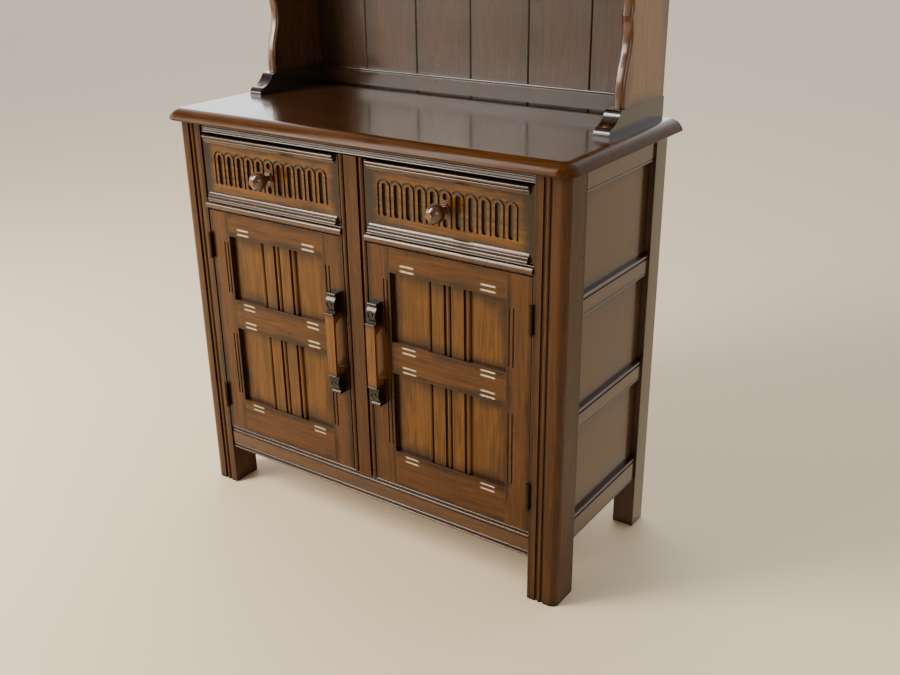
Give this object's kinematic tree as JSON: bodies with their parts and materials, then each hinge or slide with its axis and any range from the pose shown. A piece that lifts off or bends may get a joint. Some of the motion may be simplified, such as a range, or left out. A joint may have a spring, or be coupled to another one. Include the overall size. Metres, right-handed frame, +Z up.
{
  "type": "welsh dresser",
  "caption": "Oak welsh dresser: a cupboard with carved drawers over panelled doors and an open plate rack with boarded back and shelves standing on its worktop.",
  "frame": {"origin": "middle of the bounding box at floor level", "axes": "+Z up, +X to the right seen from the front, +Y to the back"},
  "size_m": [0.944, 0.459, 1.686],
  "materials": {
    "frame_oak": "dark lacquered oak",
    "panel_oak": "honey-shaded lacquered oak",
    "inside_oak": "plain unstained oak",
    "hinge_iron": "dark bronzed",
    "brass": "aged"
  },
  "bodies": {
    "carcass": {"base_back_panel": "inside_oak", "centre_muntin": "frame_oak", "cupboard_floor": "inside_oak", "cupboard_shelf": "inside_oak", "door_stop": "frame_oak", "drawer_kickers": "inside_oak", "drawer_rails": "frame_oak", "drawer_runners": "inside_oak", "front_bottom_rail": "frame_oak", "front_left_post": "frame_oak", "front_right_post": "frame_oak", "front_top_rail": "frame_oak", "hinge_fixed_leaves": "hinge_iron", "hinge_pins": "hinge_iron", "left_side_panels": "panel_oak", "left_side_rails": "frame_oak", "rack_back_boards": "frame_oak", "rack_back_rail": "frame_oak", "rack_foot_screws": "brass", "rack_frieze": "frame_oak", "rack_left_foot": "frame_oak", "rack_left_side": "frame_oak", "rack_lower_shelf": "frame_oak", "rack_right_foot": "frame_oak", "rack_right_side": "frame_oak", "rack_top": "frame_oak", "rack_upper_shelf": "frame_oak", "rear_left_post": "frame_oak", "rear_rails": "frame_oak", "rear_right_post": "frame_oak", "right_side_panels": "panel_oak", "right_side_rails": "frame_oak", "shelf_cleats": "inside_oak", "worktop": "frame_oak"},
    "left_door": {"left_door_handle": "frame_oak", "left_door_hinge_leaves": "hinge_iron", "left_door_hinge_stile": "frame_oak", "left_door_lock_stile": "frame_oak", "left_door_lower_panel": "panel_oak", "left_door_rails": "frame_oak", "left_door_upper_panel": "panel_oak"},
    "left_drawer": {"left_drawer_back": "inside_oak", "left_drawer_bottom": "inside_oak", "left_drawer_front": "panel_oak", "left_drawer_knob": "frame_oak", "left_drawer_sides": "inside_oak"},
    "right_door": {"right_door_handle": "frame_oak", "right_door_hinge_leaves": "hinge_iron", "right_door_hinge_stile": "frame_oak", "right_door_lock_stile": "frame_oak", "right_door_lower_panel": "panel_oak", "right_door_rails": "frame_oak", "right_door_upper_panel": "panel_oak"},
    "right_drawer": {"right_drawer_back": "inside_oak", "right_drawer_bottom": "inside_oak", "right_drawer_front": "panel_oak", "right_drawer_knob": "frame_oak", "right_drawer_sides": "inside_oak"}
  },
  "joints": [
    {"name": "left_door_swing", "type": "hinge", "parent": "carcass", "child": "left_door", "pos_m": [-0.3918, -0.1863, 0.404], "axis": [0, 0, -1], "range_deg": [0, 170]},
    {"name": "right_door_swing", "type": "hinge", "parent": "carcass", "child": "right_door", "pos_m": [0.3918, -0.1863, 0.404], "axis": [0, 0, 1], "range_deg": [0, 170]},
    {"name": "left_drawer_slide", "type": "slide", "parent": "carcass", "child": "left_drawer", "axis": [0, -1, 0], "range_m": [0, 0.28]},
    {"name": "right_drawer_slide", "type": "slide", "parent": "carcass", "child": "right_drawer", "axis": [0, -1, 0], "range_m": [0, 0.28]}
  ]
}
